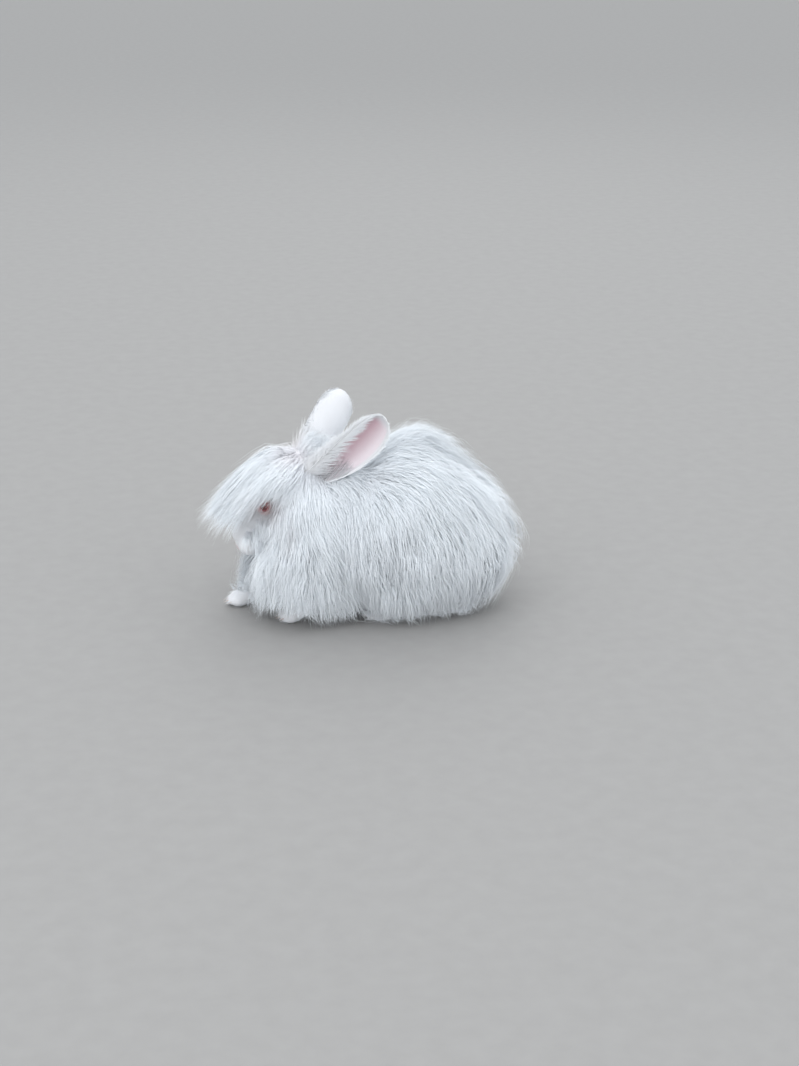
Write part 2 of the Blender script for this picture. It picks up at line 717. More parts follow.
def fall(root, layer, skin, rng, on_ear=False):
    """The line of a tuft of the fringe: up from the skin and straight down along its bearing."""
    side = side_of(root)
    bearing = math.degrees(math.atan2(abs(root.y), max(1e-4, PARTING.x - root.x)))
    if on_ear:
        bearing = rng.uniform(0.0, 26.0)
    bearing += rng.gauss(0, 4.0)
    if bearing < 0:
        side, bearing = -side, -bearing
    start, end, bow = fall_line(min(90.0, bearing), side)
    start = start + Vector((rng.gauss(0, 0.005), rng.gauss(0, 0.005), -abs(rng.gauss(0, 0.008))))
    if on_ear:
        start = root.copy()
        end = end + Vector((0.0, 0.0, 0.6 * max(0.0, root.z - 0.165)))
    way = end - start
    middle = Vector((-0.070, 0.0, 0.090))
    outward = start.lerp(end, 0.5) - middle
    outward = (outward - way * (outward.dot(way) / way.length_squared)).normalized()
    at = min(0.62, max(0.0, (root - start).dot(way) / way.length_squared - 0.12))
    ends = rng.uniform(0.76, 1.04) - (rng.uniform(0.1, 0.35) if rng.random() < 0.25 else 0.0)
    depth = min(1.0, 0.25 + 0.75 * layer)
    places, outs = [root.copy()], [outward]
    fine = 16
    for i in range(1, fine + 1):
        t = i / fine
        share = at + (ends - at) * t
        line = start.lerp(end, share) + outward * (4 * bow * share * (1 - share))
        near, out, _, _ = skin.find_nearest(line)
        line = (near + out * 0.003).lerp(line, depth)
        place = root.lerp(line, step_between(0.0, 0.34, t) if t < 0.34 else 1.0)
        if in_ears(np.array(place)):
            if i < 6:
                continue
            break
        places.append(place)
        sideways = step_between(0.0, 0.016, abs(place.y)) * step_between(-0.1, 0.5, share)
        sideways = sideways * side_of(place) * (0.1 if on_ear else 1.0)
        outs.append((outward * 0.35 + Vector((-0.35, 0.9 * sideways, 0.40))).normalized())
    if len(places) < 8:
        return None
    for _ in range(3):
        inner = [(a + b * 2 + c) / 4 for a, b, c in zip(places, places[1:], places[2:])]
        places = [places[0]] + inner + [places[-1]]
    return places, outs


def falls_from_ears(count, skin, rng):
    """Tufts that fall forward from the lower front edges of the ears."""
    made = []
    for _ in range(count):
        which = rng.choice(("left", "right", "right"))
        t = rng.uniform(0.02, 0.14 if which == "left" else 0.20)
        upper = 1.0 if ear_section(which, t)[2].z > 0 else -1.0
        root = ear_point(which, t, upper * rng.uniform(0.45, 0.95), 0.0002)
        guide = fall(root, 1.0, skin, rng, on_ear=True)
        if guide:
            made.append(guide)
    return made


def drape(kind, root, normal, length, layer, outside, skin, rng):
    """The line of a tuft: out of the skin, up to its layer of the coat and along the lie."""
    fine = 14
    step = length / fine
    drift = noise.noise(root * 45.0)
    swing = Matrix.Rotation(0.40 * drift + rng.gauss(0, 0.10), 3, normal)
    heading = (swing @ lie(kind, root) + normal * 0.9).normalized()
    place = root.copy()
    near, out = near_outside(place, outside)
    root_depth = max(0.002, (near - place).dot(out))
    ragged = rng.uniform(0.0, 0.003)
    on_floor = 0
    places, outs = [root - normal * 0.0015], [normal.copy()]
    for i in range(1, fine + 1):
        t = i / fine
        heading = (heading + (swing @ lie(kind, place)) * 0.24).normalized()
        place = place + heading * step
        if kind in STAND_OFF:
            near, out, _, _ = skin.find_nearest(place)
            above = (place - near).dot(out)
            place = place + out * max(0.0, STAND_OFF[kind] * layer * step_between(0.0, 0.5, t) - above)
            out = (out + Vector((-0.3, 0.5 * side_of(place), 0.6))).normalized()
        else:
            near, out = near_outside(place, outside)
            depth = (near - place).dot(out)
            wanted = root_depth * (1 - layer * step_between(0.0, 0.45, t))
            shift = max(-0.8 * step, min(0.8 * step, depth - wanted))
            place = place + out * shift
        low = floor_under(place) + ragged
        if place.z < low:
            # over the paw a tuft ends at its first touch
            on_floor += 3 if low > 0.008 else 1
            place.z = low
            heading.z = 0.0
        if on_floor > 2 or in_ears(np.array(place)):
            break
        places.append(place.copy())
        outs.append(out.copy())
    if len(places) < 5:
        return None
    return places, outs


def vertex_places(mesh):
    places = np.empty(len(mesh.vertices) * 3, np.float32)
    mesh.vertices.foreach_get("co", places)
    return places.reshape(-1, 3)


def scatter(skin, count, rng, accept, where=None):
    """Places drawn evenly over the skin, by kind. Where narrows the skin down first."""
    mesh = skin.data
    mesh.calc_loop_triangles()
    tris = mesh.loop_triangles
    corners = np.empty(len(tris) * 3, np.int32)
    tris.foreach_get("vertices", corners)
    co = vertex_places(mesh)[corners.reshape(-1, 3)]
    cross = np.cross(co[:, 1] - co[:, 0], co[:, 2] - co[:, 0])
    area = np.linalg.norm(cross, axis=1)
    if where:
        area = area * where(co.mean(1))
    draw = np.random.default_rng(rng.randrange(1 << 30))
    picks = draw.choice(len(area), size=count, p=area / area.sum())
    u, v = draw.random(count), draw.random(count)
    over = u + v > 1
    u[over], v[over] = 1 - u[over], 1 - v[over]
    tri = co[picks]
    places = tri[:, 0] + u[:, None] * (tri[:, 1] - tri[:, 0]) + v[:, None] * (tri[:, 2] - tri[:, 0])
    normals = unit(cross[picks])
    found = {}
    for place, normal in zip(places, normals):
        place, normal = Vector(place), Vector(normal)
        kind = accept(place, normal)
        if kind:
            found.setdefault(kind, []).append((place, normal))
    return found


def thin_to(roots, count):
    """Keeps count roots, the ones that lie furthest from those already kept where it can."""
    if len(roots) <= count:
        return roots
    low = Vector([min(r[0][k] for r in roots) for k in range(3)])
    high = Vector([max(r[0][k] for r in roots) for k in range(3)])
    spacing = (high - low).length / math.sqrt(count)
    kept = []
    while spacing > 1e-4:
        cells, kept = {}, []
        for root in roots:
            key = tuple(int(math.floor(c / spacing)) for c in root[0])
            near = (other for dx, dy, dz in NEAR_CELLS
                    for other in cells.get((key[0] + dx, key[1] + dy, key[2] + dz), ()))
            if all((other - root[0]).length_squared >= spacing * spacing for other in near):
                cells.setdefault(key, []).append(root[0])
                kept.append(root)
                if len(kept) >= count:
                    return kept
        spacing *= 0.86
    return kept


# Strands as arrays

def unit(v):
    return v / np.maximum(np.linalg.norm(v, axis=-1, keepdims=True), 1e-9)


def resample(path, outs, count):
    """The line at count even steps, with unit outward and sideways directions."""
    points = np.array([tuple(p) for p in path], float)
    lengths = np.concatenate([[0], np.cumsum(np.linalg.norm(np.diff(points, axis=0), axis=1))])
    marks = np.linspace(0, lengths[-1], count)
    line, out = [np.stack([np.interp(marks, lengths, row) for row in zip(*values)], 1)
                 for values in (path, outs)]
    ahead = unit(np.gradient(line, axis=0))
    out = unit(out - ahead * (out * ahead).sum(1, keepdims=True))
    return line, out, np.cross(ahead, out)


def strands_of(guides, kind_values, draw, uv_at):
    """Strands round each guide: points, outward directions, widths, tones and patch places."""
    _, _, tuft, count, width, wave, drift, rings = kind_values
    last = GUIDE_POINTS - 1
    drawn = [resample(*guide, GUIDE_POINTS) for guide in guides]
    lines, outs, asides = [np.array(part) for part in zip(*drawn)]
    total = len(lines) * count
    owner = np.repeat(np.arange(len(lines)), count)
    r = np.sqrt(draw.random(total)) * tuft * (0.7 + 0.6 * draw.random(len(lines)))[owner]
    angle = draw.random(total) * 2 * np.pi
    shorter = 0.72 + 0.36 * draw.random(total)
    slide = (draw.random(total) - 0.5) * 0.10
    t = np.linspace(0, 1, rings)
    where = np.clip(t * shorter[:, None] + slide[:, None] * (0.3 + t), 0, 1) * last
    low = np.minimum(where.astype(int), last - 1)
    part = (where - low)[..., None]

    def along(values):
        return values[owner[:, None], low] * (1 - part) + values[owner[:, None], low + 1] * part

    line, out, aside = along(lines), unit(along(outs)), unit(along(asides))
    spread = 1 - 0.10 * t
    lateral = (r * np.cos(angle))[:, None] * spread
    rise = (0.20 * r * np.sin(angle))[:, None] * spread
    rise = rise * np.minimum(1, 3 * t)
    swing = wave * (0.4 + 1.2 * draw.random((total, 1)))
    turns = 1.2 + 1.6 * draw.random((total, 1))
    phase = 2 * np.pi * draw.random((total, 1))
    ramp = t ** 1.3
    lateral = lateral + swing * ramp * np.sin(phase + 2 * np.pi * turns * t)
    rise = rise + 0.5 * swing * ramp * np.cos(1.7 * phase + 2 * np.pi * turns * t)
    lateral = lateral + (draw.standard_normal(total) * drift)[:, None] * ramp
    stray = draw.random(total) < STRAY_SHARE
    rise = rise + np.where(stray, draw.random(total) * STRAY_RISE, 0)[:, None] * ramp
    points = line + aside * lateral[..., None] + out * rise[..., None]
    points[..., 2] = np.maximum(points[..., 2], FLOOR_GAP * 0.6)
    clear = ~in_ears(points[:, 1:], 0.0004).any(1)
    shape = np.interp(t, (0, 0.25, 0.55, 0.85, 1), (0.75, 1.0, 0.95, 0.55, 0.0))
    half = 0.5 * width * (0.7 + 0.6 * draw.random(total))[:, None] * shape
    tone = 0.5 * draw.random(total) + 0.5 * draw.random(len(lines))[owner]
    roots = np.array([uv_at(Vector(line[0])) for line in lines])[owner]
    roots = roots + (draw.random((total, 2)) - 0.5) * 0.002
    return points[clear], out[clear] * COAT_FOLLOW, half[clear], t, tone[clear], roots[clear]


def soft_mark(points, centre, reach, strength):
    """How strong an oval mark is at each point."""
    return strength * np.exp(-(((points - centre) / reach) ** 2).sum(1))


def write_values(mesh, label, values):
    mesh.attributes.new(label, "FLOAT", "POINT").data.foreach_set("value", values.astype(np.float32))


def write_marks(mesh, points):
    """Writes how far a place is tear-stained, below the eyes, and pink, at the roots of the ears."""
    stain, blush = np.zeros(len(points)), np.zeros(len(points))
    for side in SIDES.values():
        eye, mirror = np.array(eye_frame(side)[0]), np.array((1.0, side, 1.0))
        for place, reach, strength in STAINS:
            stain = np.maximum(stain, soft_mark(points, eye + mirror * place, reach, strength))
        place, reach, strength = BLUSH
        blush = np.maximum(blush, soft_mark(points, mirror * place, reach, strength))
    write_values(mesh, "stain", stain)
    write_values(mesh, "blush", blush)


def strand_faces(rings):
    """Faces of one strand of three sides, and for each of their corners whether it is on the underside."""
    faces, below = [], []
    for i in range(rings - 2):
        for k in range(3):
            n = (k + 1) % 3
            faces.append((3 * i + n, 3 * i + k, 3 * i + 3 + k, 3 * i + 3 + n))
            below += [k == 2] * 4
    for k in range(3):
        faces.append((3 * (rings - 2) + (k + 1) % 3, 3 * (rings - 2) + k, 3 * (rings - 1)))
        below += [k == 2] * 3
    return faces + [(0, 1, 2)], below + [False] * 3


def strand_mesh(name, strands):
    """A mesh of closed strands of three sides. The longer their outward way, up to 1,
    the more their shading follows it instead of their own form."""
    points, outs, half, t, tone, roots = strands
    count, rings = points.shape[:2]
    ahead = unit(np.gradient(points, axis=1))
    up = unit(outs - ahead * (outs * ahead).sum(-1, keepdims=True))
    aside = np.cross(ahead, up)
    h = half[..., None]
    corners = np.stack([points + aside * h - up * h * 0.12, points + up * h * 0.30,
                        points - aside * h - up * h * 0.12], 2)
    body = corners[:, :-1].reshape(count, -1, 3)
    coords = np.concatenate([body, points[:, -1:]], 1).reshape(-1, 3)
    lean = unit(np.stack([aside * 0.8 - up * 0.6, up, -aside * 0.8 - up * 0.6], 2))
    own = 1 - np.linalg.norm(outs, axis=-1)[:, :-1, None, None]
    lean = unit(lean[:, :-1] * own + outs[:, :-1, None, :]).reshape(count, -1, 3)
    normals = np.concatenate([lean, unit(outs[:, -1:])], 1).reshape(-1, 3)
    unders = np.repeat(-unit(outs), 3, axis=1)[:, :3 * rings - 2].reshape(-1, 3)
    per = 3 * rings - 2
    share = np.concatenate([np.repeat(t[:-1], 3), t[-1:]])
    across = np.concatenate([np.tile((-0.0008, 0.0, 0.0008), rings - 1), [0.0]])
    patch = np.stack([across, (share - 0.5) * PATCH_LENGTH], 1)
    uvs = (roots[:, None] + patch[None]).reshape(-1, 2)
    faces, below = strand_faces(rings)
    template = np.concatenate(faces)
    sizes = np.array([len(f) for f in faces])
    base = np.arange(count)[:, None]
    loops = (template[None] + base * per).reshape(-1)
    starts = ((np.cumsum(sizes) - sizes)[None] + base * len(template)).reshape(-1)
    mesh = bpy.data.meshes.new(name)
    mesh.vertices.add(len(coords))
    mesh.vertices.foreach_set("co", coords.astype(np.float32).ravel())
    mesh.loops.add(len(loops))
    mesh.loops.foreach_set("vertex_index", loops.astype(np.int32))
    mesh.polygons.add(len(starts))
    mesh.polygons.foreach_set("loop_start", starts.astype(np.int32))
    mesh.update(calc_edges=True)
    mesh.polygons.foreach_set("use_smooth", np.ones(len(starts), bool))
    layer = mesh.uv_layers.new(name="OFBake")
    layer.data.foreach_set("uv", uvs[loops].astype(np.float32).ravel())
    write_values(mesh, "tone", np.repeat(tone, per))
    write_values(mesh, "share", np.tile(share, count))
    write_marks(mesh, coords)
    below = np.tile(below, count)[:, None]
    mesh.normals_split_custom_set(np.where(below, unders[loops], normals[loops]))
    obj = bpy.data.objects.new(name, mesh)
    bpy.context.scene.collection.objects.link(obj)
    return obj


def unwrap_of(skin):
    """Places on an unwrap of the skin, found for any point near it."""
    low = copy_of(skin)
    bpy.context.scene.collection.objects.link(low)
    fewer = low.modifiers.new("fewer", "DECIMATE")
    fewer.ratio = UNWRAP_FACES / len(low.data.polygons)
    apply_all(low)
    edit_all(bpy.ops.uv.smart_project, angle_limit=math.radians(66), island_margin=0.004)
    mesh = low.data
    tree = tree_of([low])
    layer = mesh.uv_layers.active.data
    corners = [[(mesh.vertices[mesh.loops[k].vertex_index].co.copy(), layer[k].uv.copy())
                for k in face.loop_indices] for face in mesh.polygons]
    bpy.data.objects.remove(low, do_unlink=True)

    def uv_at(place):
        near, _, index, _ = tree.find_nearest(place)
        total, uv = 0.0, Vector((0, 0))
        for corner, at in corners[index]:
            weight = 1 / max(1e-6, (corner - near).length)
            uv += at * weight
            total += weight
        return tuple(uv / total)

    return uv_at


def face_fur(place):
    """The lie and length share of the short fur on the face and feet, or None."""
    offset = place - NOSE
    along, over = offset.dot(HEAD_AXIS), offset.dot(HEAD_UP)
    if nearest_mass(place)[1]:
        if along > 0.086 or along < -0.0005 or eye_distance(place) < FUR_CLEAR:
            return None
        cheek = step_between(0.010, 0.040, along) * (1 - step_between(-0.004, 0.010, over))
        scale = 0.28 + 0.9 * step_between(0.006, 0.060, along) + 0.7 * cheek
        return HEAD_AXIS * (1 - 0.7 * cheek) - HEAD_UP * 0.25 + Vector((0, 0, -1.1 * cheek)), scale
    if place.z < 0.030:
        return Vector((-1.0, 0.0, -0.25)), 0.80
    return None


def face_or_foot(places):
    """True for places of the head's front half or of the feet."""
    along = (places - np.array(NOSE)) @ np.array(HEAD_AXIS)
    return (places[:, 2] < 0.031) | ((along < 0.088) & (places[:, 0] < -0.045) & (places[:, 2] > 0.05))


def hairs(rows, t, draw, uv_at):
    """Single hairs as arrays, from rows of their root, line, outward way and half widths."""
    roots, lines, outs, halves = zip(*rows)
    outs = np.repeat(np.array([tuple(out) for out in outs])[:, None], len(t), 1)
    uvs = np.array([uv_at(root) for root in roots])
    return np.array(lines), outs, np.array(halves), t, draw.random(len(rows)), uvs


def short_fur(skin, draw, rng, uv_at):
    """Short fur that stands a little off the skin of face and feet."""
    count, length, width = FACE_FUR
    rows = []
    t = np.linspace(0, 1, FUR_RINGS)
    thin = np.interp(t, (0, 0.4, 1), (0.8, 1.0, 0))
    for place, normal in scatter(skin, count, rng, lambda at, _: face_fur(at) and "fur", face_or_foot)["fur"]:
        flow, scale = face_fur(place)
        flow = (flow - normal * flow.dot(normal)).normalized()
        far = length * scale * rng.uniform(0.7, 1.25)
        flow = Matrix.Rotation(rng.gauss(0, 0.22), 3, normal) @ flow
        line = [tuple(place - normal * 0.0004 + flow * (far * s) + normal * (far * (0.34 * s - 0.16 * s * s)))
                for s in t]
        half = 0.5 * width * rng.uniform(0.7, 1.3) * math.sqrt(scale) * thin
        rows.append((place, line, normal * 0.8, half))
    points, *others = hairs(rows, t, draw, uv_at)
    points[..., 2] = np.maximum(points[..., 2], 0.0004)
    return points, *others


def ear_fur(which, draw, rng, uv_at):
    """Short fur on an ear's back and rims, long hair from its upper rim, and fur at its root."""
    left = which == "left"
    tip_way = (EAR_TIPS[which] - ear_root(which)).normalized()
    rows = []
    for part, index in [(part, index) for part, count in EAR_FUR for index in range(count)]:
        if index % CURTAIN_CLUSTER == 0 or part != "curtain":
            middle, bend = rng.uniform(0.02, EAR_FUR_END), rng.random()
        t = min(EAR_FUR_END, max(0.0, middle + (rng.gauss(0, 0.008) if part == "curtain" else 0.0)))
        if part == "root":
            t = rng.uniform(0.0, 0.40)
        _, mouth, across, _, open_angle = ear_section(which, t)
        upper = 1.0 if across.z > 0 else -1.0
        to_lower = -across * upper
        share = {
            "back": rng.uniform(-0.97, 0.97),
            "curtain": upper * rng.uniform(0.86, 1.0),
            "crest": upper * rng.uniform(0.55, 1.0),
            "rim": rng.choice((-1, 1)) * rng.uniform(0.90, 1.0),
            "root": rng.uniform(-1, 1),
        }[part]
        angle = open_angle * share
        away = across * math.sin(angle) - mouth * math.cos(angle)
        normal, follow = (mouth * 0.75 + Vector((-0.25, 0.0, 0.65))).normalized(), 0.85
        if part == "back":
            normal, lift, length = away, 0.22, 0.0060
            flow = tip_way + across * (0.3 * share)
            if abs(share) > 0.75 or t > 0.88:
                follow = 0.20
        elif part == "curtain":
            lift, length = 0.12, rng.choice((0.5, 1.0, 1.0)) * 0.026 * (1 - 0.70 * t)
            flow = tip_way * rng.uniform(0.85, 1.0) + to_lower * (0.15 + 0.75 * bend + rng.gauss(0, 0.06))
        elif part == "crest":
            lift, length = 0.15, 0.017 * (1 - 0.75 * t) * (1.0 if left else 0.3)
            flow = tip_way * 0.9 - to_lower * rng.uniform(0.25, 0.95) + away * 0.1
        elif part == "rim":
            lift, length, follow = 0.10, 0.0065 if left else 0.0035, 0.5
            flow = tip_way + away * 0.25 + mouth * 0.25
        else:
            normal = (away * 0.5 + Vector((-0.4, -0.4, 0.8))).normalized()
            lift, length = 0.4, 0.025 * (1 - 1.2 * t)
            flow = tip_way + away * rng.uniform(0.0, 0.5) + Vector((-0.1, 0.0, 0.2))
        length *= rng.uniform(0.6, 1.3) * (1 - 0.65 * step_between(0.80, 0.97, t))
        rows.append((ear_point(which, t, share, -0.0003), normal * follow, flow.normalized(), length, lift))
    t = np.linspace(0, 1, FUR_RINGS)
    rows = [(p, [tuple(p + f * (far * s) + n * (far * lift * (s - 0.5 * s * s))) for s in t], n,
             0.00020 * rng.uniform(0.7, 1.3) * np.array((0.9, 1.0, 0.0))) for p, n, f, far, lift in rows]
    return hairs(rows, t, draw, uv_at)


def whiskers(draw, rng, uv_at):
    """Fine whiskers from the pads of the lip, bent down by their own weight."""
    rows = []
    t = np.linspace(0, 1, 6)
    for side, row, place in product(SIDES.values(), range(3), range(4)):
        root = head_place(0.007 + 0.0032 * place, -0.0035 + 0.0026 * row, side * 0.0088)
        way = Vector((-0.30 + 0.16 * place, side * 1.0, 0.10 * row - 0.12 + rng.uniform(-0.06, 0.06)))
        way.normalize()
        far = rng.uniform(0.024, 0.040)
        line = [tuple(root + way * (far * s) + Vector((0, 0, -0.006 * s * s))) for s in t]
        rows.append((root, line, (-0.1, side * 0.1, 0.2), 0.00013 * (1.0 - 0.8 * t)))
    return hairs(rows, t, draw, uv_at)


# Colours and surfaces

class Net:
    """The nodes of a material or group. Each input is a value or the socket that feeds it."""

    def __init__(self, tree):
        self.nodes, self.links = tree.nodes, tree.links

    def feed(self, entry, value):
        if isinstance(value, bpy.types.NodeSocket):
            self.links.new(value, entry)
        else:
            entry.default_value = value

    def add(self, kind, group=None, **inputs):
        node = self.nodes.new("ShaderNode" + kind)
        if group:
            node.node_tree = group
        for label, value in inputs.items():
            self.feed(node.inputs[label.replace("_", " ")], value)
        return node

    def attribute(self, name):
        node = self.add("Attribute")
        node.attribute_name = name
        return node.outputs["Fac"]

    def multiply(self, first, second, kind="Math"):
        node = self.add(kind)
        node.operation = "MULTIPLY"
        self.feed(node.inputs[0], first)
        self.feed(node.inputs[1], second)
        return node.outputs[0]

    def mix(self, factor, first, second, blend="MIX"):
        node = self.add("Mix")
        node.data_type = "RGBA"
        node.blend_type = blend
        for label, value in (("Factor", factor), ("A", first), ("B", second)):
            self.feed(node.inputs[label], (*value, 1) if isinstance(value, tuple) else value)
        return node.outputs["Result"]

    def ramp(self, factor, stops):
        """A colour by factor. The first two stops are its ends."""
        node = self.add("ValToRGB", Fac=factor)
        elements = node.color_ramp.elements
        for k, (at, colour) in enumerate(stops):
            stop = elements[k] if k < 2 else elements.new(at)
            stop.position = at
            stop.color = (*colour, 1)
        return node.outputs["Color"]

    def bump(self, shader, height, strength, distance):
        node = self.add("Bump", Strength=strength, Distance=distance, Height=height)
        self.feed(shader.inputs["Normal"], node.outputs["Normal"])


def new_group(name, entries, leaves):
    """A group with these inputs, by label and value, and outputs, by label and kind."""
    group = bpy.data.node_groups.new(name, "ShaderNodeTree")
    for label, value in entries.items():
        kind = {3: "Vector", 4: "Color"}[len(value)] if isinstance(value, tuple) else "Float"
        socket = group.interface.new_socket(label, in_out="INPUT", socket_type="NodeSocket" + kind)
        socket.default_value = value
    for label, kind in leaves.items():
        group.interface.new_socket(label, in_out="OUTPUT", socket_type="NodeSocket" + kind)
    given = group.nodes.new("NodeGroupInput").outputs
    made = group.nodes.new("NodeGroupOutput").inputs
    return group, Net(group), given, made


def grain_group():
    """Fine hair-like grain over the surface: a height, and a mask of lighter and darker hair."""
    group, net, given, made = new_group("hair grain",
                                        {"Fineness": 900.0, "Stretch": (1, 1, 0.2), "Contrast": 0.5},
                                        {"Height": "Float", "Mask": "Float"})
    place = net.add("TexCoord").outputs["Object"]
    stretched = net.multiply(place, given["Stretch"], "VectorMath")
    fine = net.add("TexNoise", Vector=stretched, Scale=given["Fineness"], Detail=3)
    broad = net.add("TexNoise", Vector=place, Scale=55, Detail=4)
    even = net.add("MapRange", Value=broad.outputs["Fac"], From_Min=0.3, From_Max=0.7)
    net.feed(made["Height"], fine.outputs["Fac"])
    net.feed(made["Mask"], net.multiply(even.outputs[0], given["Contrast"]))
    return group


def tint_group():
    """Hair colour from root to tip, a little different from tuft to tuft."""
    group, net, given, made = new_group("hair tint", {
        "Root": (0.7, 0.7, 0.7, 1), "Tip": (0.9, 0.9, 0.9, 1), "Share": 0.5, "Tone": 0.5,
        "Patch": 0.0, "Patch Colour": (0.8, 0.8, 0.85, 1)}, {"Colour": "Color"})
    ramp = net.add("MapRange", Value=given["Share"], From_Max=0.45)
    along = net.mix(ramp.outputs[0], given["Root"], given["Tip"])
    patched = net.mix(given["Patch"], along, given["Patch Colour"])
    shade = net.add("MapRange", Value=given["Tone"], To_Min=0.93, To_Max=1.0)
    net.feed(made["Colour"], net.mix(1.0, patched, shade.outputs[0], "MULTIPLY"))
    return group


def mark_group():
    """Tear stain and the blush of thinly haired skin, over a colour."""
    group, net, given, made = new_group("marks", {
        "Colour": (0.9, 0.9, 0.9, 1), "Stain": 0.0, "Blush": 0.0,
        "Stain Colour": (0.42, 0.36, 0.37, 1), "Blush Colour": (0.92, 0.74, 0.73, 1)}, {"Colour": "Color"})
    colour = given["Colour"]
    for mark in ("Stain", "Blush"):
        colour = net.mix(given[mark], colour, given[f"{mark} Colour"])
    net.feed(made["Colour"], colour)
    return group


GRAIN = grain_group()
TINT = tint_group()
MARKS = mark_group()


def start_material(name, roughness):
    material = bpy.data.materials.new(name)
    material.use_nodes = True
    shader = material.node_tree.nodes["Principled BSDF"]
    shader.inputs["Roughness"].default_value = roughness
    return material, Net(material.node_tree), shader


def marked(net, colour):
    """The colour with the animal's marks over it."""
    marks = net.add("Group", MARKS, Colour=colour, Stain=net.attribute("stain"), Blush=net.attribute("blush"))
    return marks.outputs["Colour"]


def wool_material(name, root, tip, patch, contrast, sheen):
    material, net, shader = start_material(name, 0.62)
    grain = net.add("Group", GRAIN, Fineness=700.0, Stretch=(1, 1, 0.15), Contrast=contrast)
    tint = net.add("Group", TINT, Root=(*root, 1), Tip=(*tip, 1), Patch_Colour=(*patch, 1),
                   Share=net.attribute("share"), Tone=net.attribute("tone"), Patch=grain.outputs["Mask"])
    net.feed(shader.inputs["Base Color"], marked(net, tint.outputs["Colour"]))
    net.bump(shader, grain.outputs["Height"], 0.15, 0.0003)
    shader.inputs["Sheen Weight"].default_value = sheen
    shader.inputs["Sheen Roughness"].default_value = 0.5
    shader.inputs["Specular IOR Level"].default_value = 0.3
    return material


def skin_material():
    """Short white fur over the skin, bare pink skin at nose and lids, and the lining of the ears."""
    material, net, shader = start_material("skin", 0.65)
    grain = net.add("Group", GRAIN, Fineness=850.0, Stretch=(1, 1, 0.4), Contrast=0.45)
    tint = net.add("Group", TINT, Root=(0.76, 0.76, 0.78, 1), Tip=(0.79, 0.80, 0.825, 1),
                   Patch_Colour=(0.74, 0.74, 0.765, 1), Share=1.0, Tone=0.9, Patch=grain.outputs["Mask"])
    pink = net.mix(net.attribute("bare"), marked(net, tint.outputs["Colour"]), (0.66, 0.47, 0.48))
    depth = net.ramp(net.attribute("reach"), ((0.15, (0.82, 0.74, 0.78)), (0.85, (0.46, 0.27, 0.32)),
                                              (0.50, (0.66, 0.47, 0.52))))
    net.feed(shader.inputs["Base Color"], net.mix(net.attribute("cup"), pink, depth))
    net.bump(shader, grain.outputs["Height"], 0.45, 0.0005)
    shader.inputs["Sheen Weight"].default_value = 0.08
    return material


def eye_material():
    material, net, shader = start_material("eye", 0.05)
    iris = net.ramp(net.attribute("gaze"), ((0.10, (0.16, 0.008, 0.012)), (0.36, (0.75, 0.55, 0.53)),
                                            (0.115, (0.50, 0.10, 0.11)), (0.24, (0.58, 0.20, 0.19)),
                                            (0.30, (0.45, 0.13, 0.14))))
    rays = net.add("Group", GRAIN, Fineness=1400.0, Stretch=(1, 1, 1), Contrast=0.5)
    net.feed(shader.inputs["Base Color"], net.mix(0.35, iris, rays.outputs["Height"], "MULTIPLY"))
    shader.inputs["Coat Weight"].default_value = 1.0
    shader.inputs["Coat Roughness"].default_value = 0.02
    return material


def plain_material(name, colour, other, fineness, roughness, strength):
    material, net, shader = start_material(name, roughness)
    grain = net.add("Group", GRAIN, Fineness=fineness, Stretch=(1, 1, 1), Contrast=0.8)
    net.feed(shader.inputs["Base Color"], net.mix(grain.outputs["Mask"], colour, other))
    net.bump(shader, grain.outputs["Height"], strength, 0.0003)
    return material


# Making it all

def settle(piece, material, nodes=()):
    """The piece is done: moved to its place, with its material, body and slot."""
    piece.data.transform(Matrix.Translation((ROOM, 0, 0)))
    piece.data.materials.clear()
    piece.data.materials.append(material)
    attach(piece, "root")
    if nodes:
        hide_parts(*nodes)
    return piece


def smooth(piece):
    select_only([piece])
    bpy.ops.object.shade_smooth()


def mark_bare_skin(skin):
    """Writes on the skin where it is bare: the tip of the nose and the rims of the lids."""
    add_marks(skin)
    bare = skin.data.attributes["bare"]
    eyes = [eye_frame(side)[0] for side in SIDES.values()]
    for vert in skin.data.vertices:
        along = (vert.co - NOSE).dot(HEAD_AXIS)
        if along > 0.075 or vert.co.z < 0.04:
            continue
        nose = 1 - step_between(-0.0015, 0.0022, along)
        near_eye = min((vert.co - eye).length for eye in eyes)
        lid = 1 - step_between(EYE_RADIUS + 0.0012, EYE_RADIUS + 0.0034, near_eye)
        bare.data[vert.index].value = max(0.75 * nose if abs(vert.co.y) < 0.008 else 0.0, lid)


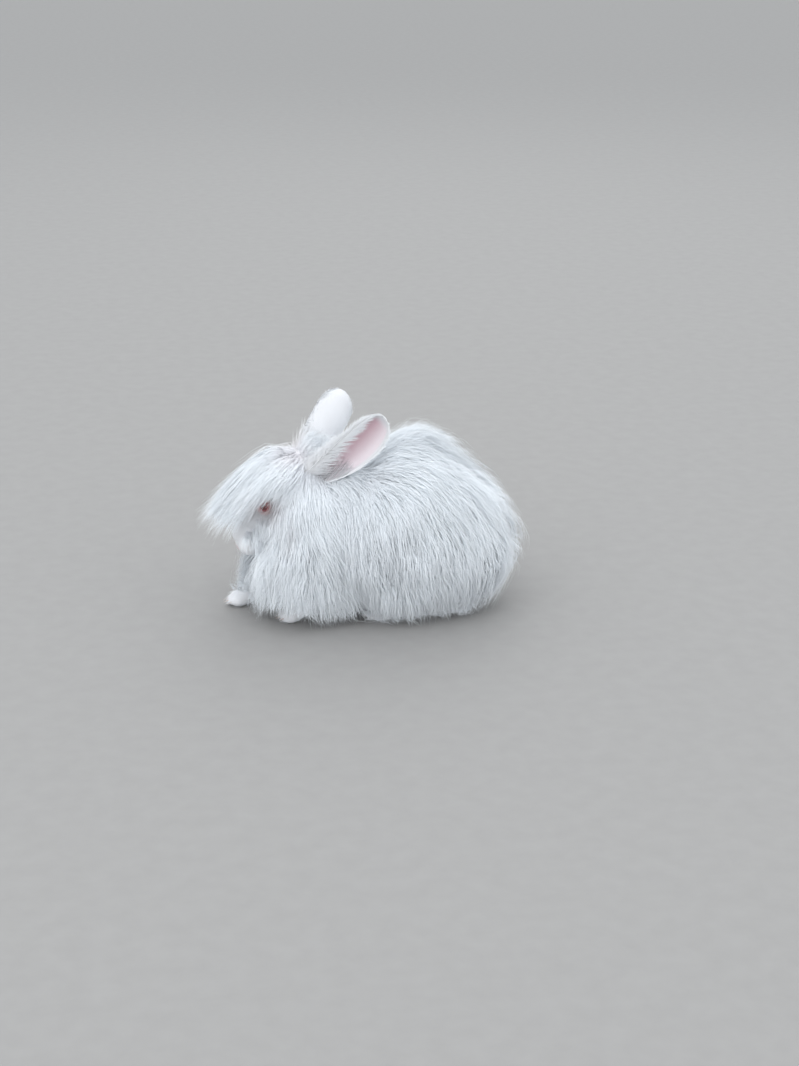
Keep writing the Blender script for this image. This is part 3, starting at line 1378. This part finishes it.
def build():
    rng = random.Random(COAT_SEED)
    draw = np.random.default_rng(COAT_SEED)
    skin = make_skin()
    outside = outside_of_coat()
    skin_tree = tree_of([skin])
    bare_skin = copy_of(skin)
    mark_bare_skin(skin)
    for which in SIDES:
        combine(skin, make_ear(which), "UNION")
    uv_at = unwrap_of(skin)

    wool = wool_material("angora wool", (0.86, 0.88, 0.925), (0.90, 0.94, 0.975), (0.87, 0.91, 0.955),
                         0.36, 0.12)
    fur = wool_material("short fur", (0.85, 0.855, 0.87), (0.875, 0.895, 0.92), (0.85, 0.86, 0.88), 0.5, 0.08)

    found = scatter(bare_skin, ROOTS_DRAWN, rng, kind_at)
    for kind, values in KINDS.items():
        count, length = values[:2]
        guides = []
        for place, normal in thin_to(found.get(kind, []), count):
            column = noise.noise(Vector((place.x * 36, place.y * 36, place.z * 13)))
            layer = min(LAYERS[1], max(LAYERS[0], rng.uniform(0.62, 0.94) + 0.55 * column))
            if kind in ("bib", "leg"):
                layer += OUTER_LAYER
            if kind in ("visor", "forelock"):
                made = fall(place, layer, skin_tree, rng)
            else:
                reach = (0.5 if place.z < 0.030 else 1.0) * length * rng.uniform(0.75, 1.15)
                made = drape(kind, place, normal, reach, layer, outside, skin_tree, rng)
            if made:
                guides.append(made)
        if kind == "forelock":
            guides += falls_from_ears(EAR_FALLS, skin_tree, rng)
        for which, side in SIDES.items():
            own = [guide for guide in guides if guide[0][0].y * side > 0]
            settle(strand_mesh(f"wool_{kind}_{which}", strands_of(own, values, draw, uv_at)), wool)

    settle(strand_mesh("fur_short", short_fur(bare_skin, draw, rng, uv_at)), fur)
    settle(strand_mesh("whiskers", whiskers(draw, rng, uv_at)), fur)
    for which in SIDES:
        settle(strand_mesh(f"fur_ear_{which}", ear_fur(which, draw, rng, uv_at)), fur)

    bpy.data.objects.remove(bare_skin, do_unlink=True)
    write_marks(skin.data, vertex_places(skin.data))
    smooth(skin)
    settle(skin, skin_material(),
           ("head", "neck", "torso", "tail", "ear_left", "ear_right",
            "foreleg_left", "foreleg_right", "hind_leg_left", "hind_leg_right"))
    eyes = eye_material()
    for which in SIDES:
        eye = make_eye(which)
        smooth(eye)
        settle(eye, eyes, (f"eye_{which}",))
    claws = make_claws()
    select_only([claws])
    bpy.ops.object.shade_smooth_by_angle(angle=math.radians(40))
    horn = plain_material("horn", (0.72, 0.62, 0.56), (0.60, 0.46, 0.42), 500.0, 0.35, 0.2)
    settle(claws, horn)


def stage():
    deselect()
    bpy.ops.mesh.primitive_plane_add(size=40.0)
    floor = bpy.context.object
    floor.name = "floor"
    pale = plain_material("pale floor", (0.30, 0.295, 0.29), (0.32, 0.315, 0.31), 60.0, 0.8, 0.05)
    floor.data.materials.append(pale)

    for name, (place, size, power) in LIGHTS.items():
        bpy.ops.object.light_add(type="AREA", location=place)
        light = bpy.context.object
        light.name = name
        light.data.size = size
        light.data.energy = power
        light.rotation_euler = (Vector(place) - VIEW_TARGET).to_track_quat("Z", "Y").to_euler()
    world = bpy.data.worlds.new("soft sky")
    world.use_nodes = True
    sky = world.node_tree.nodes["Background"]
    sky.inputs["Color"].default_value = SKY_COLOUR
    sky.inputs["Strength"].default_value = SKY_STRENGTH
    bpy.context.scene.world = world

    level = math.cos(VIEW_HEIGHT)
    back = Vector((math.sin(VIEW_BEARING) * level, -math.cos(VIEW_BEARING) * level, math.sin(VIEW_HEIGHT)))
    bpy.ops.object.camera_add(location=VIEW_TARGET + back * VIEW_DISTANCE)
    camera = bpy.context.object
    camera.rotation_euler = back.to_track_quat("Z", "Y").to_euler()
    camera.data.lens = VIEW_LENS
    camera.data.sensor_width = VIEW_SENSOR
    bpy.context.scene.camera = camera
    bpy.context.scene.view_settings.view_transform = "Standard"


build()
stage()
